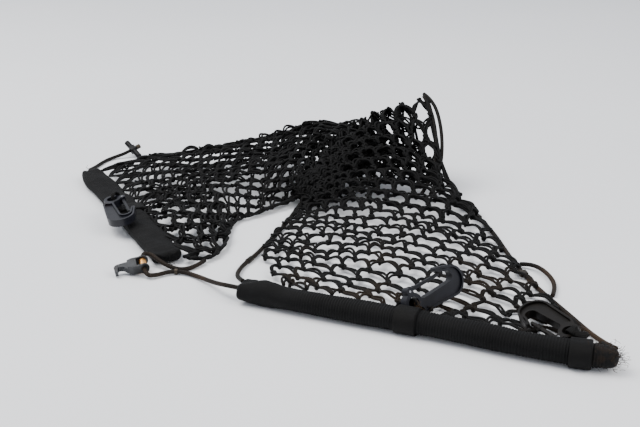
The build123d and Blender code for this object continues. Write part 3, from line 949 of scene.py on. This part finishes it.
# one layer of the net: its knots, where they lie and the legs between them
class Patch:
    def __init__(self, facts):
        self.facts = facts
        first, last = (s / lastStation for s in facts["down"])
        self.downs = rowPlaces(first, last, facts["gap"], facts.get("opening", 0))
        self.rows = len(self.downs) - 1
        self.settle()
        self.faceUp()

    def settle(self):
        facts, columns, rows = self.facts, self.facts["columns"], self.rows
        chance = np.random.default_rng(facts["seed"])
        low, high = facts["across"]
        keys, places, homes = {}, [], []
        for j, down in enumerate(self.downs):
            odd = j % 2
            heap = heapShare(down)
            for i in range(columns + 1 - odd):
                across = (i + 0.5 * odd) / columns
                edge = j in (0, rows)
                border = not odd and i in (0, columns)
                inside = 0.3 + 0.7 * math.sin(math.pi * across)
                home = guidePoint(low + (high - low) * across, down)
                if not edge:
                    home = home + slowShift(home) * (0.5 if border else 1.0)
                    home[2] += facts["lift"]
                jitter = chance.normal(0, 1, 3) * (net["shake"] + net["heapShake"] * heap * inside)
                jitter[2] *= 0.35 + 0.75 * heap
                keys[(i, j)] = len(places)
                places.append(home + jitter * (0 if edge else 0.4 if border else 1))
                homes.append(home)
        places, homes = np.array(places), np.array(homes)
        legs = []
        for (i, j), here in keys.items():
            for step in ((-1, 0) if j % 2 == 0 else (0, 1)):
                there = keys.get((i + step, j + 1))
                if there is not None:
                    legs.append((here, there))
        legs = np.array(legs)
        fixed = np.array([j in (0, rows) for (i, j) in keys])
        rule = net["settle"]
        for _ in range(rule["rounds"]):
            gap = places[legs[:, 1]] - places[legs[:, 0]]
            far = np.linalg.norm(gap, axis=1)
            short = np.clip(net["leg"] * rule["shortest"] - far, 0, None)
            over = np.clip(far - net["leg"], 0, None) - short
            push = gap / (far[:, None] + tiny) * over[:, None] * rule["pull"]
            np.add.at(places, legs[:, 0], push)
            np.add.at(places, legs[:, 1], -push)
            places += (homes - places) * rule["homeward"]
            places[:, 2] = np.maximum(places[:, 2], rule["floor"])
            places[fixed] = homes[fixed]
        self.keys, self.places, self.legs = keys, places, legs

    # at each knot: the way down the net, and the way out of its surface
    def faceUp(self):
        keys, places = self.keys, self.places
        self.down, self.out = np.zeros_like(places), np.zeros_like(places)
        for (i, j), here in keys.items():
            ahead = keys.get((i, min(j + 2, self.rows - j % 2)), here)
            behind = keys.get((i, max(j - 2, j % 2)), here)
            left = keys.get((i - 1, j), here)
            right = keys.get((i + 1, j), here)
            d = places[ahead] - places[behind]
            a = places[right] - places[left]
            d /= np.linalg.norm(d) + tiny
            n = np.cross(a, d)
            n /= np.linalg.norm(n) + tiny
            self.down[here], self.out[here] = d, n if n[2] > 0 else -n


# strands that pass under a hook stay below it
def keepLow(points):
    fade = net["underFade"]
    for start, end, room, ceiling in net["underHooks"]:
        a, b = np.array(start, float), np.array(end, float)
        d = b - a
        t = np.clip(((points[:, :2] - a) @ d) / (d @ d), 0, 1)
        away = np.linalg.norm(points[:, :2] - a - t[:, None] * d, axis=1)
        share = np.clip((room + fade - away) / fade, 0, 1)
        lowered = np.minimum(points[:, 2], ceiling)
        points[:, 2] = points[:, 2] * (1 - share) + lowered * share
    return points


# two arching strands for every leg of a patch, each with its place down the net
def netStrands(patch):
    chance = np.random.default_rng(patch.facts["seed"] + 1)
    places, legs, down, out, rows = patch.places, patch.legs, patch.down, patch.out, patch.rows
    rowOf = {here: j for (i, j), here in patch.keys.items()}
    lines = []
    steps = np.linspace(0, 1, net["legSteps"] + 1)
    arch = np.sin(np.pi * steps) ** 0.8
    for a, b in legs:
        far = np.linalg.norm(places[b] - places[a]) + tiny
        knot = min(net["knotLength"], far * 0.24)
        start = places[a] + down[a] * knot * (1 if rowOf[a] else 0)
        end = places[b] - down[b] * knot * (1 if rowOf[b] < rows else 0)
        chord = end - start
        far = np.linalg.norm(chord) + tiny
        along = chord / far
        d = down[a] + down[b]
        n = out[a] + out[b]
        n /= np.linalg.norm(n) + tiny
        bow = d - along * (d @ along)
        size = np.linalg.norm(bow)
        bow = bow / size if size > 0.1 else np.cross(n, along)
        slack = max(net["leg"] * 0.92 - far, 1.0)
        reach = min(math.sqrt(0.375 * far * slack), net["deepestBow"])
        gap = net["pairGap"] * chance.uniform(0.75, 1.3)
        lift = chance.uniform(0.1, 0.5)
        for k in (-0.5, 0.5):
            bowSize = reach * 0.52 * chance.uniform(0.85, 1.15)
            rise = reach * lift * chance.uniform(0.7, 1.3)
            twist = chance.uniform(-0.9, 0.9)
            spread = bow * (k * gap) * (0.28 + 0.72 * arch)[:, None]
            line = (start + steps[:, None] * chord + arch[:, None] * (bow * bowSize + n * rise)
                    + spread + np.sin(steps * turn)[:, None] * n * twist)
            line[:, 2] = np.maximum(line[:, 2], net["strand"] / 2 + 0.3)
            lines.append((patch.downs[rowOf[a]], keepLow(line)))
    return lines


# one tightened knot: a flattened trefoil of strand, pointing along Y
def knotMesh():
    line = []
    for k in range(net["knotSteps"] + 1):
        t = k / net["knotSteps"] * turn
        x = (math.sin(t) + 2 * math.sin(2 * t)) * 0.95
        y = (math.cos(t) - 2 * math.cos(2 * t)) * 2.0
        z = -math.sin(3 * t) * 1.5
        line.append(Vector((x * mm, y * mm, z * mm)))
    knot = strands("knotPiece", [line], net["strand"] * 0.5 * mm, "netCord", net["strandSides"])
    bpy.context.scene.collection.objects.unlink(knot)
    return knot


# the cords along the net's two edges, in mm, from station to station
borders = {
    "radius": 1.9,
    "inner": (23.5, 32.0),
    "outer": (9.0, 32.0),
    "points": 90,
    "pieceLength": 15,
    "wander": 2.6,
}


# twin cords that the net's edges are gathered on, cut into short lengths for the net's pieces
def borderLines():
    found = []
    wander, cutLength = borders["wander"], borders["pieceLength"]
    for across, (low, high), seed in ((0.0, borders["inner"], 3), (1.0, borders["outer"], 5)):
        for twin in (0, 1):
            downs = np.linspace(low / lastStation, high / lastStation, borders["points"])
            line = np.array([guidePoint(across, d) for d in downs])
            run = np.linspace(0, 1, len(line))
            line[:, 0] += wander * np.sin(run * 41 + seed + twin * 2.2)
            line[:, 1] += wander * np.sin(run * 37 + seed * 2 + twin * 1.7)
            rise = line[:, 2] + 1.8 * np.sin(run * 53 + twin * 3)
            line[:, 2] = np.maximum(rise, borders["radius"] + 0.3)
            for first in range(0, len(line) - 1, cutLength):
                middle = downs[min(first + cutLength // 2, len(line) - 1)]
                found.append((float(middle), line[first:first + cutLength + 1] * mm))
    return found


def makeNet():
    patches = [Patch(facts) for facts in net["patches"]]
    lines = [pair for patch in patches for pair in netStrands(patch)]
    knots = [(patch.downs[j], patch.places[k], patch.down[k])
             for patch in patches for (i, j), k in patch.keys.items() if 0 < j < patch.rows]
    edgeLines = borderLines()
    knot = knotMesh()
    chance = np.random.default_rng(net["seed"] + 2)
    fold = heapFrom + (heapTo - heapFrom) * net["heapSplit"]
    # the pieces of the net, the solid each stands for and how far down it reaches
    pieces = (("frontNet", "front_net", -1, heapFrom),
              ("heapNetUnder", "net_heap", heapFrom, fold),
              ("heapNetOver", "net_heap", fold, heapTo),
              ("rearNet", "rear_net", heapTo, 2))
    for name, node, low, high in pieces:
        mine = [line * mm for down, line in lines if low <= down < high]
        piece = strands(name, mine, net["strand"] / 2 * mm, "netCord", net["strandSides"])
        here = [(place, aim) for down, place, aim in knots if low <= down < high]
        mesh = bpy.data.meshes.new(name + "Spots")
        mesh.from_pydata([(place * mm).tolist() for place, aim in here], [], [])
        aims = np.array([aim for place, aim in here]) + chance.normal(0, net["knotSway"], (len(here), 3))
        addAttribute(mesh, "aim", "FLOAT_VECTOR", aims)
        addAttribute(mesh, "size", "FLOAT", chance.uniform(*net["knotSizes"], len(here)))
        extra = [runTree(newObject(name + "Spots", mesh), trees["scatter"], name + "Knots",
                         {"piece": knot, "finish": finishes["netCord"]})]
        border = [line for middle, line in edgeLines if low <= middle < high]
        if border:
            extra.append(strands(name + "Border", border, borders["radius"] * mm, "netCord", sides=8))
        joinMeshes(piece, extra)
        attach(piece, "net")
        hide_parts(node)
        triangles = sum(len(p.vertices) - 2 for p in piece.data.polygons)
        print(name, "strands", len(mine), "knots", len(here), "triangles", triangles)


makeNet()


# finishes of the hard pieces
hardFinish = {
    "hook": ["front_hook", "rear_hook"],
    "wornHook": ["side_hook", "side_hook_gate"],
    "gate": ["front_hook_gate", "rear_hook_gate"],
    "steel": ["front_hook_gate_pin", "side_hook_gate_pin", "rear_hook_gate_pin"],
    "smallHook": ["corner_hook"],
    "brass": ["corner_hook_roller"],
    "toggle": ["toggle_bar"],
    "clamp": ["left_edge_clamp", "right_edge_ferrules", "corner_cord_crimp", "toggle_cord_sleeve"],
}
for finish, names in hardFinish.items():
    for name in names:
        for holder in nodes[name].material_slots:
            holder.material = finishes[finish]
print("hard pieces finished")
